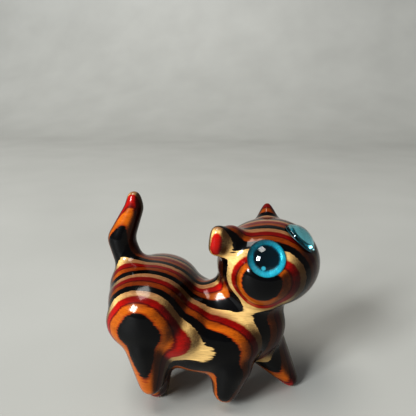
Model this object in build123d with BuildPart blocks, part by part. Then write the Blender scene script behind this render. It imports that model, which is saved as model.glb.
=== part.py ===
from build123d import *
import os
from math import asin, cos, radians, sin

# A small cat figurine carved from one block of dyed veneers glued face to face.
# +X is the way the body faces, +Y is the cat's left, +Z is up, and the four feet stand on Z = 0.
# The glue line in the middle of the block lies on Y = 0. All lengths are in millimetres.

# The block: a 1.5 inch square blank of 1/16 inch veneers, each pressed to 1.45 mm with its glue.
PLY = 1.45
GLUE_FILM = 0.02
PLY_COUNT = 26
COLOURS = ("black", "orange", "red", "cream")
HALF_BLOCK = PLY * PLY_COUNT / 2
BLOCK_LENGTH = 90
BLOCK_HEIGHT = 75

# Each rounded mass of the body is an ellipsoid: its centre, then its three half lengths.
RUMP = ((-15.6, 0, 30.6), (13.5, 18.1, 10.1))
BELLY = ((-8.7, 0, 24.0), (15.5, 16.1, 11.4))
CHEST = ((7.1, 0, 23.3), (15.8, 8.5, 13.4))
SHOULDER = ((-0.4, 7.0, 20.3), (16.6, 6.3, 9.8))
HAUNCH = ((-15.4, 11.7, 27.2), (11.3, 6.7, 8.7))

# Each limb is a tapered rod with ball ends: start, end, radius at the start, radius at the end.
HIND_LEG = ((-14.3, 8.6, 14.0), (-14.4, 6.8, 3.3), 5.6, 3.7)
SHIN = ((-14.9, 11.7, 21.5), (-14.0, 13.5, 9.4), 6.7, 3.4)
RIGHT_FORELEG = ((8.2, -6.9, 13.8), (6.6, -8.3, 6.0), 6.0, 3.9)
RIGHT_FOREFOOT = ((6.6, -7.0, 6.5), (6.4, -5.5, 2.5), 3.6, 2.9)
LEFT_FORELEG = ((12.8, 4.8, 19.2), (25.5, 4.2, 2.1), 8.5, 2.5)
NECK = ((10.5, 2.4, 25.3), (15.2, 3.1, 37.9), 10.3, 9.3)

# The tail grows from a round root. It is a chain of such rods through these points: centre, radius.
TAIL_ROOT = ((-20.7, 0.2, 32.2), (9.1, 9.1, 9.1))
TAIL = (
    ((-23.2, 2.9, 33.5), 4.3),
    ((-27.1, 2.9, 46.0), 4.1),
    ((-22.9, 4.1, 55.6), 2.9),
    ((-22.9, 4.2, 58.6), 2.2),
)

# The head looks over the right shoulder. Its parts are measured from its own centre and axes.
HEAD_CENTRE = (17.0, 3.1, 41.8)
HEAD_TURN = -24
HEAD_ROLL = 5.5
SKULL = (14.5, 15.0, 11.9)
CHEEK = ((1.2, 6.3, -0.8), (9.1, 8.5, 10.4))
CHEEK_PAD = ((4.2, 12.1, 0.6), (6.7, 3.1, 6.7))
CHEEK_PAD_TURN = 24
RIGHT_EAR = ((-6.6, -9.2, 9.2), (-7.9, -13.0, 11.0), 3.9, 2.4)
RIGHT_EAR_RIM = ((-7.9, -13.3, 12.3), (-8.2, -14.2, 8.2), 2.3, 2.3)
LEFT_EAR = ((-4.9, 9.8, 8.6), (-6.0, 12.0, 12.6), 3.2, 1.1)

# The eyes: 10 mm glass cabochons, each on a printed disc in a flat-bottomed drilled seat.
EYE_DIAMETER = 10.0
SEAT_CLEARANCE = 0.1
SEAT_DRILL_LENGTH = 12
GLASS_EDGE = 0.6
GLASS_HEIGHT = 3.0
IRIS_THICKNESS = 0.15
# Centre of each seat's floor, then the way the eye looks: degrees from +X, degrees above level.
RIGHT_EYE = ((16.7, -8.9, 47.2), -82, 35)
LEFT_EYE = ((25.1, 0.1, 49.8), 5, 49)


def ellipsoid(centre, half_lengths, rotation=(0, 0, 0)):
    """Adds an ellipsoid to the part in hand."""
    unit_ball = Sphere(1, mode=Mode.PRIVATE)
    body = scale(unit_ball, by=half_lengths, mode=Mode.PRIVATE)
    with Locations(Location(centre, rotation)):
        add(body)


def limb(start, end, start_radius, end_radius):
    """Adds a tapered rod with ball ends to the part in hand."""
    along = Vector(*end) - Vector(*start)
    length = along.length
    across = Vector(0, 1, 0).cross(along)
    taper = asin((start_radius - end_radius) / length)
    flank = (sin(taper), cos(taper))
    shoulder = (start_radius * flank[0], start_radius * flank[1])
    wrist = (length + end_radius * flank[0], end_radius * flank[1])
    half = (radians(90) - taper) / 2
    back = (-start_radius * cos(radians(45) + taper / 2), start_radius * sin(radians(45) + taper / 2))
    front = (length + end_radius * cos(half), end_radius * sin(half))
    with BuildSketch(Plane(origin=start, x_dir=along, z_dir=across)) as profile:
        with BuildLine():
            ThreePointArc((-start_radius, 0), back, shoulder)
            Line(shoulder, wrist)
            ThreePointArc(wrist, front, (length + end_radius, 0))
            Line((length + end_radius, 0), (-start_radius, 0))
        make_face()
    revolve(profile.sketch, axis=Axis(start, along))


def eye_plane(floor_centre, heading, rise):
    """Gives the plane of an eye's seat, looking out along the eye."""
    level = cos(radians(rise))
    gaze = (level * cos(radians(heading)), level * sin(radians(heading)), sin(radians(rise)))
    return Plane(origin=floor_centre, z_dir=gaze)


# The head, in its own axes.
with BuildPart() as head:
    ellipsoid((0, 0, 0), SKULL)
    for side in (-1, 1):
        cheek_centre = (CHEEK[0][0], side * CHEEK[0][1], CHEEK[0][2])
        ellipsoid(cheek_centre, CHEEK[1])
        pad_centre = (CHEEK_PAD[0][0], side * CHEEK_PAD[0][1], CHEEK_PAD[0][2])
        ellipsoid(pad_centre, CHEEK_PAD[1], (0, 0, -side * CHEEK_PAD_TURN))
    limb(*RIGHT_EAR)
    limb(*RIGHT_EAR_RIM)
    limb(*LEFT_EAR)

# The whole carving, before it is parted into its plies.
with BuildPart() as carving:
    ellipsoid(*RUMP)
    ellipsoid(*BELLY)
    ellipsoid(*CHEST)
    for side in (-1, 1):
        shoulder_centre = (SHOULDER[0][0], side * SHOULDER[0][1], SHOULDER[0][2])
        ellipsoid(shoulder_centre, SHOULDER[1])
        haunch_centre = (HAUNCH[0][0], side * HAUNCH[0][1], HAUNCH[0][2])
        ellipsoid(haunch_centre, HAUNCH[1])
        for top, bottom, top_radius, bottom_radius in (HIND_LEG, SHIN):
            top = (top[0], side * top[1], top[2])
            bottom = (bottom[0], side * bottom[1], bottom[2])
            limb(top, bottom, top_radius, bottom_radius)
    limb(*RIGHT_FORELEG)
    limb(*RIGHT_FOREFOOT)
    limb(*LEFT_FORELEG)
    limb(*NECK)
    with Locations(Location(HEAD_CENTRE, (0, 0, HEAD_TURN)) * Location((0, 0, 0), (HEAD_ROLL, 0, 0))):
        add(head.part)
    ellipsoid(*TAIL_ROOT)
    for (start, start_radius), (end, end_radius) in zip(TAIL, TAIL[1:]):
        limb(start, end, start_radius, end_radius)
    # The soles are sanded flat.
    split(bisect_by=Plane.XY, keep=Keep.TOP)
    # The seats of the eyes.
    for eye in (RIGHT_EYE, LEFT_EYE):
        with BuildSketch(eye_plane(*eye)):
            Circle(EYE_DIAMETER / 2)
        extrude(amount=SEAT_DRILL_LENGTH, mode=Mode.SUBTRACT)

os.makedirs("parts", exist_ok=True)

# The plies, from the cat's right flank to its left.
for number in range(1, PLY_COUNT + 1):
    colour = COLOURS[(number - 1) % len(COLOURS)]
    near_face = -HALF_BLOCK + (number - 1) * PLY + GLUE_FILM / 2
    with BuildPart() as ply:
        add(carving.part)
        with Locations((0, near_face, BLOCK_HEIGHT / 2)):
            Box(
                BLOCK_LENGTH,
                PLY - GLUE_FILM,
                BLOCK_HEIGHT,
                align=(Align.CENTER, Align.MIN, Align.CENTER),
                mode=Mode.INTERSECT,
            )
    ply.part.label = f"ply_{number:02d}_{colour}"
    export_step(ply.part, f"parts/{ply.part.label}.step")

# The eyes.
for side, eye in (("right", RIGHT_EYE), ("left", LEFT_EYE)):
    seat = eye_plane(*eye)
    radius = EYE_DIAMETER / 2 - SEAT_CLEARANCE / 2
    with BuildPart() as iris:
        with BuildSketch(seat):
            Circle(radius)
        extrude(amount=IRIS_THICKNESS)
    iris.part.label = f"{side}_iris"
    export_step(iris.part, f"parts/{iris.part.label}.step")
    with BuildPart() as glass:
        with BuildSketch(Plane(origin=seat.origin, x_dir=seat.x_dir, z_dir=-seat.y_dir)) as half_dome:
            with BuildLine():
                back = IRIS_THICKNESS
                Polyline((0, back), (radius, back), (radius, back + GLASS_EDGE))
                dome_rise = GLASS_HEIGHT - GLASS_EDGE
                dome_radius = (radius**2 + dome_rise**2) / (2 * dome_rise)
                RadiusArc((radius, back + GLASS_EDGE), (0, back + GLASS_HEIGHT), -dome_radius)
                Line((0, back + GLASS_HEIGHT), (0, back))
            make_face()
        revolve(half_dome.sketch, axis=Axis(seat.origin, seat.z_dir))
    glass.part.label = f"{side}_eye_glass"
    export_step(glass.part, f"parts/{glass.part.label}.step")
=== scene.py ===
import math

import bmesh
import bpy
import numpy as np
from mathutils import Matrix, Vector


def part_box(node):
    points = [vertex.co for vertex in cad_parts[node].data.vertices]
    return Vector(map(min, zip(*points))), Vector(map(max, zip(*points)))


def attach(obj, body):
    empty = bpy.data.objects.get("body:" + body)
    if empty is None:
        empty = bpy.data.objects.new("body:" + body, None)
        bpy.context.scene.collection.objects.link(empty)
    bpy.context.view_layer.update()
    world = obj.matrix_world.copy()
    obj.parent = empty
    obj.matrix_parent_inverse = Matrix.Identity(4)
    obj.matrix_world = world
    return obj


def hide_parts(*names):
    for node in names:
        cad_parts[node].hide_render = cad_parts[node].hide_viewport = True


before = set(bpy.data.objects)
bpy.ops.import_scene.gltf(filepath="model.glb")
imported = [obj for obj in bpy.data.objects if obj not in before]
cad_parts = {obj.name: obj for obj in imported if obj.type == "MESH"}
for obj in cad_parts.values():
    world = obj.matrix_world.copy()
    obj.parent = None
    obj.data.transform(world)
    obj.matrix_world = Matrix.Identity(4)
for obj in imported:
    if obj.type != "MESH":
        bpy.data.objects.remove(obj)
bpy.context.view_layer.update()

import openvdb
from mathutils import Matrix, Vector

# Lengths are in metres unless the name says millimetres.
MM = 0.001

# The carved skin: how finely it is sampled, how wide the carver's rasp rounds the hollows between
# the cat's parts, how far the sanding then evens everything out, and how much it takes off.
VOXEL_MM = 0.4
HOLLOW_RADIUS_MM = 2.4
SANDING_MM = 0.9
SANDING_LOSS_MM = 0.06

# How much farther than the hollows and the sanding need the fields of distances reach.
REACH_MARGIN_MM = 2
SANDING_REACH = 4
FIELD_MARGIN_CELLS = 4

PLY_NAMES = sorted(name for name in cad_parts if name.startswith("ply_"))

# The plies' pitch, and the side of the block where the first ply starts, from the second ply and third.
SECOND_GLUE_LINE = (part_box(PLY_NAMES[1])[1][1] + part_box(PLY_NAMES[2])[0][1]) / 2
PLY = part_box(PLY_NAMES[2])[0][1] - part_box(PLY_NAMES[1])[0][1]
BLOCK_LOW = SECOND_GLUE_LINE - 2 * PLY

# The eyes: how much wider the drilled seats are than the eyes, and how long the drill is. The glass
# has a short upright edge, with a small chamfer at its back, and the print lies a hair below it.
SEAT_GAP_MM = 0.05
DRILL_LENGTH_MM = 12
GLASS_EDGE_MM = 0.6
GLASS_CHAMFER_MM = 0.1
PRINT_GAP_MM = 0.01

# The steps round the drill, round an eye and up a dome.
DRILL_STEPS = 128
EYE_STEPS = 96
DOME_STEPS = 28

# How near a point has to be to lie on a glue line or in a seat, and how squarely a face lies across.
WELD_MM = 1e-5
ON_GLUE_LINE_MM = 1e-3
IN_SEAT_MM = 0.02
SQUARE_ON = 0.999


# ---------------------------------------------------------------- the carved skin


def read_vectors(items, attribute, kind=float):
    """Gives one attribute of some mesh items, three numbers for each, as an array."""
    values = np.zeros(len(items) * 3, kind)
    items.foreach_get(attribute, values)
    return values.reshape(-1, 3)


def cad_triangles(names):
    """Gives the points and triangles of some CAD nodes together, in millimetres."""
    points = []
    triangles = []
    start = 0
    for name in names:
        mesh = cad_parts[name].data
        mesh.calc_loop_triangles()
        points.append(read_vectors(mesh.vertices, "co", np.float32) / MM)
        triangles.append(read_vectors(mesh.loop_triangles, "vertices", np.int32) + start)
        start += len(mesh.vertices)
    return np.concatenate(points), np.concatenate(triangles)


def distance_field(points, triangles, quads, reach_mm):
    """Gives a grid of distances to a closed surface, right out to reach_mm on both sides of it."""
    return openvdb.FloatGrid.createLevelSetFromPolygons(
        points.astype(np.float32),
        triangles=triangles.astype(np.uint32),
        quads=quads.astype(np.uint32),
        transform=openvdb.createLinearTransform(VOXEL_MM),
        halfWidth=reach_mm / VOXEL_MM,
    )


def blurred(values, sigma):
    """Blurs a 3-D array along each of its axes; sigma is in cells."""
    reach = int(math.ceil(3 * sigma))
    weights = np.exp(-0.5 * (np.arange(-reach, reach + 1) / sigma) ** 2)
    weights /= weights.sum()
    for axis in range(3):
        margins = [(0, 0)] * 3
        margins[axis] = (reach, reach)
        padded = np.moveaxis(np.pad(values, margins, mode="edge"), axis, 0)
        length = values.shape[axis]
        total = np.zeros_like(np.moveaxis(values, axis, 0))
        for shift, weight in enumerate(weights):
            total += np.float32(weight) * padded[shift : shift + length]
        values = np.moveaxis(total, 0, axis)
    return np.ascontiguousarray(values)


def carve_skin():
    """Gives the field of distances to the body's smooth skin, in millimetres, and its lowest cell."""
    points, triangles = cad_triangles(PLY_NAMES)
    no_quads = np.zeros((0, 4), np.uint32)
    solid = distance_field(points, triangles, no_quads, HOLLOW_RADIUS_MM + REACH_MARGIN_MM)
    # Swelling the body and shrinking it again rounds its hollows and leaves its bulges alone.
    swollen = solid.convertToPolygons(isovalue=HOLLOW_RADIUS_MM, adaptivity=0)
    grid = distance_field(*swollen, HOLLOW_RADIUS_MM + SANDING_REACH * SANDING_MM)
    low, high = grid.evalActiveVoxelBoundingBox()
    low = np.array(low) - FIELD_MARGIN_CELLS
    high = np.array(high) + FIELD_MARGIN_CELLS
    field = np.zeros(high - low + 1, np.float32)
    grid.copyToArray(field, ijk=tuple(low.tolist()))
    field = blurred(field + HOLLOW_RADIUS_MM, SANDING_MM / VOXEL_MM) - SANDING_LOSS_MM
    return field, low


def surface_of(field, low):
    """Gives the points, triangles and quads of a field's zero surface, in millimetres."""
    grid = openvdb.FloatGrid(float(field.max()))
    grid.transform = openvdb.createLinearTransform(VOXEL_MM)
    grid.copyFromArray(field, ijk=tuple(low.tolist()))
    return grid.convertToPolygons(isovalue=0.0, adaptivity=0)


def sampled(field, low, points_mm):
    """Reads a field between its cells at some points."""
    place = points_mm / VOXEL_MM - low
    cell = np.clip(np.floor(place).astype(int), 0, np.array(field.shape) - 2)
    part = place - cell
    total = np.zeros(len(points_mm))
    for corner in np.ndindex(2, 2, 2):
        weight = np.prod(np.where(corner, part, 1 - part), axis=1)
        total += weight * field[tuple((cell + corner).T)]
    return total


def skin_normals(field, low, points_mm):
    """Gives the outward direction of the smooth skin at some points."""
    slopes = []
    for axis in range(3):
        shift = np.zeros(3)
        shift[axis] = VOXEL_MM
        slopes.append(sampled(field, low, points_mm + shift) - sampled(field, low, points_mm - shift))
    normals = np.stack(slopes, axis=1)
    return normals / np.maximum(np.linalg.norm(normals, axis=1, keepdims=True), 1e-9)


# ---------------------------------------------------------------- the eyes' places


def eye_place(side):
    """Gives an eye's seat, in millimetres.

    It has the middle of its floor, the directions sideways, upward and outward, the eye's radius,
    and the heights of the printed disc and of the top of the glass above the floor.
    """
    disc = cad_triangles([f"{side}_iris"])[0].astype(float)
    glass = cad_triangles([f"{side}_eye_glass"])[0].astype(float)
    middle = (disc.min(axis=0) + disc.max(axis=0)) / 2
    # The disc is thinnest along the way the eye looks.
    outward = np.linalg.svd(disc - disc.mean(axis=0))[2][2]
    if (glass.mean(axis=0) - middle) @ outward < 0:
        outward = -outward
    sideways = np.cross((0, 0, 1), outward)
    sideways /= np.linalg.norm(sideways)
    upward = np.cross(outward, sideways)
    across = disc @ sideways
    along = disc @ upward
    height = (disc @ outward).min()
    centre = sideways * (across.min() + across.max()) / 2
    centre = centre + upward * (along.min() + along.max()) / 2 + outward * height
    return {
        "centre": centre,
        "sideways": sideways,
        "upward": upward,
        "outward": outward,
        "radius": (across.max() - across.min()) / 2,
        "disc": (disc @ outward).max() - height,
        "top": (glass @ outward).max() - height,
    }


EYES = {side: eye_place(side) for side in ("right", "left")}


def eye_axes(eye):
    """Gives the turn that makes +Z the way an eye looks."""
    return Matrix([eye["sideways"], eye["upward"], eye["outward"]]).transposed().to_4x4()


def eye_matrix(eye):
    """Gives the matrix that places an eye made about the origin, looking along +Z, in metres."""
    return Matrix.Translation(Vector(eye["centre"]) * MM) @ eye_axes(eye)


# ---------------------------------------------------------------- meshes


def new_object(name, mesh):
    """Puts a mesh in the scene as an object."""
    piece = bpy.data.objects.new(name, mesh)
    bpy.context.scene.collection.objects.link(piece)
    return piece


def apply_modifiers(piece):
    """Fixes an object's modifiers into its mesh."""
    graph = bpy.context.evaluated_depsgraph_get()
    mesh = bpy.data.meshes.new_from_object(piece.evaluated_get(graph))
    piece.modifiers.clear()
    piece.data = mesh


def finished_mesh(name, shape):
    """Turns an edited shape into a mesh whose faces all look outward."""
    bmesh.ops.recalc_face_normals(shape, faces=shape.faces)
    mesh = bpy.data.meshes.new(name)
    shape.to_mesh(mesh)
    shape.free()
    return mesh


def lathe(profile, steps):
    """Gives a mesh turned about Z from a profile of (radius, height) pairs whose ends lie on Z."""
    shape = bmesh.new()
    turns = [2 * math.pi * i / steps for i in range(steps)]
    rings = []
    for radius, height in profile:
        if radius == 0:
            rings.append([shape.verts.new((0, 0, height))])
            continue
        ring = [(radius * math.cos(turn), radius * math.sin(turn), height) for turn in turns]
        rings.append([shape.verts.new(point) for point in ring])
    for inner, outer in zip(rings, rings[1:]):
        for i in range(steps):
            j = (i + 1) % steps
            walk = ((inner, i), (outer, i), (outer, j), (inner, j))
            corners = [ring[step % len(ring)] for ring, step in walk]
            # A corner on Z comes twice, and counts once.
            shape.faces.new(list(dict.fromkeys(corners)))
    return finished_mesh("turned", shape)


def carved_body(field, low):
    """Gives the whole carved body in millimetres, with the eyes' seats drilled."""
    points, triangles, quads = surface_of(field, low)
    mesh = bpy.data.meshes.new("body")
    mesh.from_pydata(points.tolist(), [], triangles.tolist() + quads.tolist())
    body = new_object("body", mesh)
    for eye in EYES.values():
        radius = eye["radius"] + SEAT_GAP_MM
        outline = [(0, 0), (radius, 0), (radius, DRILL_LENGTH_MM), (0, DRILL_LENGTH_MM)]
        drill = new_object("drill", lathe(outline, DRILL_STEPS))
        drill.matrix_world = Matrix.Translation(Vector(eye["centre"])) @ eye_axes(eye)
        cut = body.modifiers.new("seat", "BOOLEAN")
        cut.operation = "DIFFERENCE"
        cut.solver = "EXACT"
        cut.object = drill
        bpy.context.view_layer.update()
        apply_modifiers(body)
        bpy.data.objects.remove(drill)
    return body


def in_seat(points_mm):
    """Says which points lie in a drilled seat."""
    inside = np.zeros(len(points_mm), bool)
    for eye in EYES.values():
        offset = points_mm - eye["centre"]
        height = offset @ eye["outward"]
        radial = np.linalg.norm(offset - height[:, None] * eye["outward"], axis=1)
        inside |= (radial < eye["radius"] + SEAT_GAP_MM + IN_SEAT_MM) & (height > -IN_SEAT_MM)
    return inside


def cut_at_glue_lines(body, glue_lines):
    """Gives the carved body as a shape whose faces are all cut where they cross a glue line."""
    whole = bmesh.new()
    whole.from_mesh(body.data)
    for depth in glue_lines:
        bmesh.ops.bisect_plane(
            whole,
            geom=whole.verts[:] + whole.edges[:] + whole.faces[:],
            dist=WELD_MM,
            plane_co=(0, depth, 0),
            plane_no=(0, 1, 0),
        )
    return whole


def on_glue_line(edge, depth):
    """Says whether both ends of an edge lie on a glue line."""
    return all(abs(end.co.y - depth) < ON_GLUE_LINE_MM for end in edge.verts)


def ply_mesh(name, faces, glue_lines):
    """Gives a ply's mesh in millimetres: copies of its outer faces, closed along its glue lines."""
    ply = bmesh.new()
    copies = {}
    for face in faces:
        corners = []
        for vert in face.verts:
            if vert.index not in copies:
                copies[vert.index] = ply.verts.new(vert.co)
            corners.append(copies[vert.index])
        ply.faces.new(corners)
    open_edges = [edge for edge in ply.edges if edge.is_boundary]
    for depth in glue_lines:
        loop = [edge for edge in open_edges if on_glue_line(edge, depth)]
        if loop:
            bmesh.ops.triangle_fill(ply, edges=loop, use_beauty=True, use_dissolve=False, normal=(0, 1, 0))
    return finished_mesh(name, ply)


def shade_skin(mesh, glue_lines, field, low):
    """Gives a ply's outer faces the smooth skin's directions, so that no seam shows between plies."""
    smooth = skin_normals(field, low, read_vectors(mesh.vertices, "co"))
    centres = read_vectors(mesh.polygons, "center")
    flats = read_vectors(mesh.polygons, "normal")
    is_flat = in_seat(centres)
    for depth in glue_lines:
        is_flat |= (np.abs(centres[:, 1] - depth) < ON_GLUE_LINE_MM) & (np.abs(flats[:, 1]) > SQUARE_ON)
    mesh.polygons.foreach_set("use_smooth", np.ones(len(mesh.polygons), bool))
    normals = np.zeros((len(mesh.loops), 3))
    for polygon in mesh.polygons:
        for index in polygon.loop_indices:
            vertex = mesh.loops[index].vertex_index
            normals[index] = flats[polygon.index] if is_flat[polygon.index] else smooth[vertex]
    mesh.normals_split_custom_set([tuple(normal) for normal in normals])


def sliced_plies(body, field, low):
    """Parts the carved body along its glue lines, and gives each ply's mesh in metres."""
    glue_lines = [(BLOCK_LOW + PLY * i) / MM for i in range(1, len(PLY_NAMES))]
    whole = cut_at_glue_lines(body, glue_lines)
    slabs = [[] for _ in PLY_NAMES]
    for face in whole.faces:
        number = int(np.searchsorted(glue_lines, face.calc_center_median().y))
        slabs[number].append(face)
    meshes = []
    for name, faces in zip(PLY_NAMES, slabs):
        mesh = ply_mesh(name, faces, glue_lines)
        shade_skin(mesh, glue_lines, field, low)
        mesh.transform(Matrix.Scale(MM, 4))
        meshes.append(mesh)
    whole.free()
    return meshes


# ---------------------------------------------------------------- materials


class Nodes:
    """Adds shader nodes to one material."""

    def __init__(self, name):
        self.material = bpy.data.materials.new(name)
        self.material.use_nodes = True
        self.tree = self.material.node_tree
        self.tree.nodes.clear()

    def add(self, kind, inputs=(), **settings):
        """Adds a node, sets it, and joins or sets its inputs, given as (input, socket or value) pairs."""
        node = self.tree.nodes.new(kind)
        for name, value in settings.items():
            setattr(node, name, value)
        for key, value in inputs:
            if isinstance(value, bpy.types.NodeSocket):
                self.tree.links.new(value, node.inputs[key])
            else:
                node.inputs[key].default_value = value
        return node

    def math(self, operation, a, b=0.0):
        """Gives the result of one sum."""
        return self.add("ShaderNodeMath", [(0, a), (1, b)], operation=operation).outputs[0]

    def length(self, x, y):
        """Gives how far a point at x and y is from the middle."""
        squares = self.math("ADD", self.math("MULTIPLY", x, x), self.math("MULTIPLY", y, y))
        return self.math("SQRT", squares)

    def position_mm(self):
        """Gives the place on the object, in millimetres."""
        place = self.add("ShaderNodeTexCoord").outputs["Object"]
        scale = [("Vector", place), ("Scale", 1 / MM)]
        return self.add("ShaderNodeVectorMath", scale, operation="SCALE").outputs["Vector"]

    def noise(self, place, stretch, detail, roughness):
        """Gives noise about 0.5 whose marks have the given repeats per millimetre along X, Y and Z."""
        mapped = self.add("ShaderNodeVectorMath", [(0, place), (1, stretch)], operation="MULTIPLY")
        settings = [
            ("Vector", mapped.outputs[0]),
            ("Scale", 1.0),
            ("Detail", detail),
            ("Roughness", roughness),
        ]
        return self.add("ShaderNodeTexNoise", settings).outputs["Fac"]

    def about_zero(self, noise, width):
        """Gives noise that lies about zero instead, and spans a width."""
        return self.math("MULTIPLY", self.math("SUBTRACT", noise, 0.5), width)

    def ramp(self, amount, stops):
        """Gives a colour from a ramp of (position, (r, g, b)) stops."""
        node = self.add("ShaderNodeValToRGB", [("Fac", amount)])
        elements = node.color_ramp.elements
        while len(elements) < len(stops):
            elements.new(1.0)
        for element, (position, colour) in zip(elements, stops):
            element.position = position
            element.color = (*colour, 1.0)
        return node.outputs["Color"]

    def span(self, value, low, high, out_low=0.0, out_high=1.0):
        """Gives a value mapped smoothly from one span to another."""
        inputs = [
            ("Value", value),
            ("From Min", low),
            ("From Max", high),
            ("To Min", out_low),
            ("To Max", out_high),
        ]
        return self.add("ShaderNodeMapRange", inputs, interpolation_type="SMOOTHSTEP").outputs["Result"]

    def mix(self, amount, a, b, blend="MIX"):
        """Gives a mix of two colours."""
        node = self.add("ShaderNodeMix", data_type="RGBA", blend_type=blend)
        for key, value in ((0, amount), (6, a), (7, b)):
            if isinstance(value, bpy.types.NodeSocket):
                self.tree.links.new(value, node.inputs[key])
            elif key == 0:
                node.inputs[key].default_value = value
            else:
                node.inputs[key].default_value = (*value, 1.0)
        return node.outputs[2]

    def tinted(self, colour, tint):
        """Gives a colour times a tint."""
        return self.mix(1.0, colour, tint, "MULTIPLY")

    def toned(self, colour, tone):
        """Gives a colour made lighter or darker by a number."""
        grey = self.add("ShaderNodeCombineColor", [(0, tone), (1, tone), (2, tone)]).outputs[0]
        return self.tinted(colour, grey)

    def shader(self, colour, roughness, **values):
        """Finishes the material with one shader."""
        base = (*colour, 1.0) if isinstance(colour, tuple) else colour
        inputs = [("Base Color", base), ("Roughness", roughness)]
        for name, value in values.items():
            inputs.append((name.replace("_", " "), value))
        shader = self.add("ShaderNodeBsdfPrincipled", inputs)
        self.add("ShaderNodeOutputMaterial", [("Surface", shader.outputs["BSDF"])])
        return self.material


# The dyes, as they look under lacquer. The deep ones are at a glue line, where two dyes run together.
BLACK = (0.002, 0.002, 0.0025)
ORANGE = (0.42, 0.113, 0.007)
ORANGE_DEEP = (0.27, 0.045, 0.0035)
RED = (0.36, 0.008, 0.004)
RED_DEEP = (0.105, 0.004, 0.004)
CREAM = (0.66, 0.45, 0.19)
CREAM_DEEP = (0.50, 0.27, 0.095)

# Where each dye starts and ends in the repeat of four plies, and how far one dye runs into the next.
BLEED = 0.010
REPEAT_PLIES = 4
REPEAT = (
    (0.0, BLACK),
    (0.25 - BLEED, BLACK),
    (0.25 + BLEED, ORANGE_DEEP),
    (0.25 + 5 * BLEED, ORANGE),
    (0.50 - 4 * BLEED, ORANGE),
    (0.50 - BLEED, ORANGE_DEEP),
    (0.50 + BLEED, RED_DEEP),
    (0.50 + 6 * BLEED, RED),
    (0.75 - 2 * BLEED, RED),
    (0.75 + BLEED, CREAM_DEEP),
    (0.75 + 4 * BLEED, CREAM),
    (1.0 - BLEED, CREAM),
    (1.0, BLACK),
)

# Each noise of the wood: its repeats per millimetre along X, Y and Z, its detail and its roughness.
LONG_FRAY = ((0.16, 0.5, 1.7), 3.0, 0.6)
FEATHERS = ((0.10, 0.3, 2.4), 2.0, 0.5)
SHORT_FRAY = ((0.55, 1.5, 5.5), 2.0, 0.6)
FIBRES = ((0.30, 2.5, 8.0), 3.0, 0.65)
BANDS = ((0.05, 0.4, 0.55), 2.0, 0.5)
PORES = ((1.5, 6.0, 6.0), 2.0, 0.6)
RIPPLES = ((0.35, 0.35, 0.35), 1.0, 0.4)

# How wide each fray is across the plies, in millimetres.
FRAYS_MM = ((LONG_FRAY, 0.30), (FEATHERS, 0.42), (SHORT_FRAY, 0.12))

# How light the fibres and the bands of uneven dye are, from darkest to lightest.
FIBRE_TONES = (0.74, 1.12)
BAND_TONES = (0.84, 1.10)

# The way the fibres run: nearly along X, a little aslant across the block.
GRAIN = (0.98, -0.20, 0.0)

# Cut ends of fibres, darkened partly by the lacquer they drink and partly as painted shade: how squarely
# they are cut where they start to darken and where they are darkest, how much of the colour then
# changes, and what the lacquer and the painted shade tint and stain it with.
CUT_START = 0.38
CUT_FULL = 0.73
END_GRAIN_AND_SHADE_STRENGTH = 0.97
PORE_WIDTH = 0.25
END_GRAIN_AND_SHADE_TINT = (0.10, 0.07, 0.06)
END_STAIN_AND_SHADE = (0.018, 0.012, 0.010)
STAIN_AND_SHADE_STRENGTH = 0.25

# Painted shade on surfaces that face upward: how level they are where it starts and where it is darkest,
# and its tint.
TOP_SHADE_START = 0.42
TOP_SHADE_FULL = 0.90
TOP_SHADE_TINT = (0.36, 0.27, 0.30)


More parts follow.
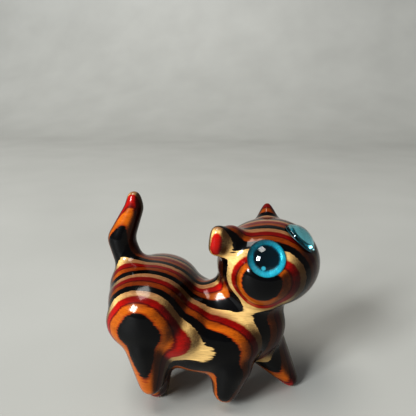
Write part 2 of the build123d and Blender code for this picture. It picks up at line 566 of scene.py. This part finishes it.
def laminate_material():
    """Dyed veneer under clear gloss lacquer, with painted shade on its cut ends and on faces turned
    upward.
    """
    m = Nodes("lacquered_dyed_veneer")
    place = m.position_mm()
    # The knife tore each veneer's face along the grain, so the glue lines wander like frayed fibres.
    depth = m.add("ShaderNodeSeparateXYZ", [("Vector", place)]).outputs["Y"]
    for fray, width in FRAYS_MM:
        depth = m.math("ADD", depth, m.about_zero(m.noise(place, *fray), width))
    turns = m.math("DIVIDE", m.math("SUBTRACT", depth, BLOCK_LOW / MM), REPEAT_PLIES * PLY / MM)
    dye = m.ramp(m.math("FRACT", turns), REPEAT)
    # Fibres, and broad bands of uneven dye.
    fibre = m.span(m.noise(place, *FIBRES), 0.30, 0.70, *FIBRE_TONES)
    band = m.span(m.noise(place, *BANDS), 0.30, 0.70, *BAND_TONES)
    colour = m.toned(dye, m.math("MULTIPLY", fibre, band))
    # Cut ends of the fibres drink the lacquer and turn dark brown; the darkening is made stronger, to
    # nearly black, as painted shade.
    facing = m.add("ShaderNodeNewGeometry").outputs["Normal"]
    along_grain = m.add("ShaderNodeVectorMath", [(0, facing), (1, GRAIN)], operation="DOT_PRODUCT")
    cut = m.math("ABSOLUTE", along_grain.outputs["Value"])
    cut = m.math("ADD", cut, m.about_zero(m.noise(place, *PORES), PORE_WIDTH))
    # How dark each place is made: part end-grain darkening, part painted shade.
    ends = m.span(cut, CUT_START, CUT_FULL, 0.0, END_GRAIN_AND_SHADE_STRENGTH)
    end_grain_and_shade_colour = m.mix(STAIN_AND_SHADE_STRENGTH, m.tinted(colour, END_GRAIN_AND_SHADE_TINT), END_STAIN_AND_SHADE)
    colour = m.mix(ends, colour, end_grain_and_shade_colour)
    # Painted shade: surfaces that face upward are painted darker, the more level the darker.
    upward = m.add("ShaderNodeSeparateXYZ", [("Vector", facing)]).outputs["Z"]
    edges = m.span(upward, TOP_SHADE_START, TOP_SHADE_FULL)
    colour = m.mix(edges, colour, m.tinted(colour, TOP_SHADE_TINT))
    # The brushed lacquer is a little uneven.
    ripple = [("Height", m.noise(place, *RIPPLES)), ("Strength", 0.10), ("Distance", 0.6 * MM)]
    return m.shader(
        colour,
        0.38,
        Specular_IOR_Level=0.05,
        Coat_Weight=1.0,
        Coat_Roughness=0.13,
        Coat_IOR=1.36,
        Coat_Normal=m.add("ShaderNodeBump", ripple).outputs[0],
    )


def glass_material():
    """Polished glass, cast in a deep turquoise tint."""
    m = Nodes("eye_glass")
    return m.shader((0.26, 0.66, 0.74), 0.0, Transmission_Weight=1.0, IOR=1.5)


# The printed iris, in parts of its radius: the pupil's edge, and the middle of the bright ring.
PUPIL = 0.55
RING = 0.80
IRIS = (
    (0.0, (0.002, 0.004, 0.010)),
    (PUPIL - 0.03, (0.002, 0.004, 0.012)),
    (PUPIL + 0.03, (0.03, 0.20, 0.26)),
    (PUPIL + 0.09, (0.12, 0.82, 0.86)),
    (RING - 0.06, (0.34, 0.97, 0.97)),
    (RING + 0.06, (0.18, 0.92, 0.95)),
    (0.95, (0.025, 0.24, 0.28)),
    (1.0, (0.012, 0.10, 0.125)),
)
IRIS_ROUGHNESS = 0.35

# Its threads run outward: how far they move the rings in and out, and how light they are.
THREADS = ((11.0, 11.0, 3.0), 3.0, 0.6)
THREAD_WIDTH = 0.10
THREAD_TONES = (0.85, 1.12)

# A painted glint, a pale cyan spot below the pupil's middle: its place, where it starts to fade, where it
# ends, its colour.
PAINTED_GLINT_PLACE = (-0.15, -0.46)
PAINTED_GLINT_INNER = 0.07
PAINTED_GLINT_OUTER = 0.13
PAINTED_GLINT_COLOUR = (0.60, 0.95, 0.95)


def iris_material(radius):
    """A printed iris: a black pupil in a bright ring of turquoise threads with a dark rim, with a painted
    glint and painted light and shade on it.
    """
    m = Nodes("printed_iris")
    flat = m.add("ShaderNodeSeparateXYZ", [("Vector", m.position_mm())])
    x = m.math("DIVIDE", flat.outputs["X"], radius)
    y = m.math("DIVIDE", flat.outputs["Y"], radius)
    spread = m.length(x, y)
    angle = m.math("ARCTAN2", y, x)
    round_place = [
        ("X", m.math("SINE", angle)),
        ("Y", m.math("COSINE", angle)),
        ("Z", m.math("MULTIPLY", spread, 0.5)),
    ]
    threads = m.noise(m.add("ShaderNodeCombineXYZ", round_place).outputs[0], *THREADS)
    colour = m.ramp(m.math("ADD", spread, m.about_zero(threads, THREAD_WIDTH)), IRIS)
    # The painted glint: a pale spot that fades out from its middle.
    painted_glint_spread = m.length(m.math("SUBTRACT", x, PAINTED_GLINT_PLACE[0]), m.math("SUBTRACT", y, PAINTED_GLINT_PLACE[1]))
    painted_glint = m.span(painted_glint_spread, PAINTED_GLINT_INNER, PAINTED_GLINT_OUTER, 1.0, 0.0)
    colour = m.mix(painted_glint, colour, PAINTED_GLINT_COLOUR)
    # Painted light and shade on the print: it is painted darkest towards the upper left and brightest at
    # the lower right, like light gathered by the glass.
    painted_light_slope = m.math("MULTIPLY", m.math("SUBTRACT", x, y), 0.7)
    shade = m.span(painted_light_slope, -0.9, 0.7, 0.35, 1.25)
    tone = m.math("MULTIPLY", m.span(threads, 0.3, 0.7, *THREAD_TONES), shade)
    return m.shader(m.toned(colour, tone), IRIS_ROUGHNESS)


# ---------------------------------------------------------------- pieces


def build_body():
    """Makes every ply of the carved body."""
    field, low = carve_skin()
    body = carved_body(field, low)
    wood = laminate_material()
    for name, mesh in zip(PLY_NAMES, sliced_plies(body, field, low)):
        _, number, colour = name.split("_")
        piece = new_object(f"veneer_{number}_{colour}", mesh)
        mesh.materials.append(wood)
        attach(piece, "root")
        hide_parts(name)
    bpy.data.objects.remove(body)


def glass_profile(eye):
    """Gives the half outline of an eye's glass: a flat back, a short upright edge and a dome."""
    radius = eye["radius"] * MM
    back = eye["disc"] * MM
    top = eye["top"] * MM
    chamfer = GLASS_CHAMFER_MM * MM
    rise = top - back - GLASS_EDGE_MM * MM
    sphere = (radius**2 + rise**2) / (2 * rise)
    start = math.asin(radius / sphere)
    profile = [(0, back), (radius - chamfer, back), (radius, back + chamfer)]
    for i in range(DOME_STEPS):
        turn = start * (1 - i / DOME_STEPS)
        profile.append((sphere * math.sin(turn), top - sphere * (1 - math.cos(turn))))
    profile.append((0, top))
    return profile


def disc_profile(eye):
    """Gives the half outline of an eye's printed disc."""
    radius = eye["radius"] * MM
    top = (eye["disc"] - PRINT_GAP_MM) * MM
    return [(0, 0), (radius, 0), (radius, top), (0, top)]


def build_eyes():
    """Makes each eye's printed disc and its glass."""
    glass = glass_material()
    for side, eye in EYES.items():
        disc = new_object(f"{side}_printed_iris", lathe(disc_profile(eye), EYE_STEPS))
        disc.data.materials.append(iris_material(eye["radius"]))
        dome = new_object(f"{side}_glass_dome", lathe(glass_profile(eye), EYE_STEPS))
        dome.data.materials.append(glass)
        for polygon in dome.data.polygons:
            polygon.use_smooth = polygon.normal.z > 0.02
        rows = ((disc, f"{side}_iris", "printed_iris"), (dome, f"{side}_eye_glass", "eye_glass"))
        for piece, node, slot in rows:
            piece.matrix_world = eye_matrix(eye)
            bpy.context.view_layer.update()
            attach(piece, "root")
            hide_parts(node)


# ---------------------------------------------------------------- stage

# The sweep: its width, where it starts in front, where it bends, and how high it goes.
FLOOR_WIDTH = 2.4
FLOOR_FRONT = -0.8
FLOOR_BEND = 0.7
FLOOR_BEND_RADIUS = 0.5
FLOOR_BEND_STEPS = 24
FLOOR_HEIGHT = 1.4
FLOOR_MOTTLE = ((0.012, 0.012, 0.012), 2.0, 0.5)
FLOOR_COLOURS = ((0.3, (0.330, 0.328, 0.308)), (0.7, (0.355, 0.353, 0.332)))
FLOOR_ROUGHNESS = 0.55

# Each light: its name, its place and size in millimetres, its power and its colour.
WARM = (1.0, 0.98, 0.94)
DAYLIGHT = (0.95, 0.98, 1.0)
LIGHTS = (
    ("overhead", (-480, -240, 1990), (1040, 800), 21.0, WARM),
    ("window_left", (-1200, -1320, 1110), (260, 800), 25.0, DAYLIGHT),
    ("window_right", (-940, -1520, 1110), (260, 800), 25.0, DAYLIGHT),
)
LIGHT_AIM_MM = (0, 0, 30)
SKY_COLOUR = (0.93, 0.95, 1.0)
SKY_STRENGTH = 0.20

# The camera: its place, the way it looks, and its lens and sensor.
CAMERA_PLACE_MM = (18.0, -104.5, 86.8)
CAMERA_DIRECTION = (-0.1634, 0.9500, -0.2662)
LENS_MM = 34.35
SENSOR_WIDTH_MM = 36.0


def build_floor():
    """Makes a pale sweep: a table top that curves up into a backdrop behind the object."""
    profile = [(FLOOR_FRONT, 0.0), (FLOOR_BEND, 0.0)]
    for i in range(1, FLOOR_BEND_STEPS + 1):
        turn = math.pi / 2 * i / FLOOR_BEND_STEPS
        along = FLOOR_BEND + FLOOR_BEND_RADIUS * math.sin(turn)
        profile.append((along, FLOOR_BEND_RADIUS * (1 - math.cos(turn))))
    profile.append((FLOOR_BEND + FLOOR_BEND_RADIUS, FLOOR_HEIGHT))
    points = [(side * FLOOR_WIDTH / 2, y, z) for y, z in profile for side in (-1, 1)]
    faces = [(2 * i, 2 * i + 1, 2 * i + 3, 2 * i + 2) for i in range(len(profile) - 1)]
    mesh = bpy.data.meshes.new("floor")
    mesh.from_pydata(points, [], faces)
    for polygon in mesh.polygons:
        polygon.use_smooth = True
    floor = new_object("floor", mesh)
    m = Nodes("pale_table")
    colour = m.ramp(m.noise(m.position_mm(), *FLOOR_MOTTLE), FLOOR_COLOURS)
    mesh.materials.append(m.shader(colour, FLOOR_ROUGHNESS))


def panel_light(name, place_mm, size_mm, power, colour):
    """Adds a rectangular soft light that points at the object."""
    data = bpy.data.lights.new(name, "AREA")
    data.shape = "RECTANGLE"
    data.size = size_mm[0] * MM
    data.size_y = size_mm[1] * MM
    data.energy = power
    data.color = colour
    light = new_object(name, data)
    light.location = Vector(place_mm) * MM
    direction = Vector(LIGHT_AIM_MM) - Vector(place_mm)
    light.rotation_euler = direction.to_track_quat("-Z", "Y").to_euler()


def build_lights():
    """A big soft light overhead, a window of two panes to the front left, and a soft sky."""
    for light in LIGHTS:
        panel_light(*light)
    world = bpy.data.worlds.new("soft_sky")
    bpy.context.scene.world = world
    world.use_nodes = True
    background = world.node_tree.nodes["Background"]
    background.inputs["Color"].default_value = (*SKY_COLOUR, 1.0)
    background.inputs["Strength"].default_value = SKY_STRENGTH


def build_camera():
    """Looks down on the cat's right flank, from a little in front of it."""
    data = bpy.data.cameras.new("camera")
    data.sensor_width = SENSOR_WIDTH_MM
    data.lens = LENS_MM
    data.clip_start = 0.005
    data.clip_end = 20.0
    camera = new_object("camera", data)
    camera.location = Vector(CAMERA_PLACE_MM) * MM
    camera.rotation_euler = Vector(CAMERA_DIRECTION).to_track_quat("-Z", "Y").to_euler()
    bpy.context.scene.camera = camera


build_body()
build_eyes()
build_floor()
build_lights()
build_camera()
bpy.context.scene.view_settings.view_transform = "Standard"
bpy.context.scene.view_settings.look = "High Contrast"
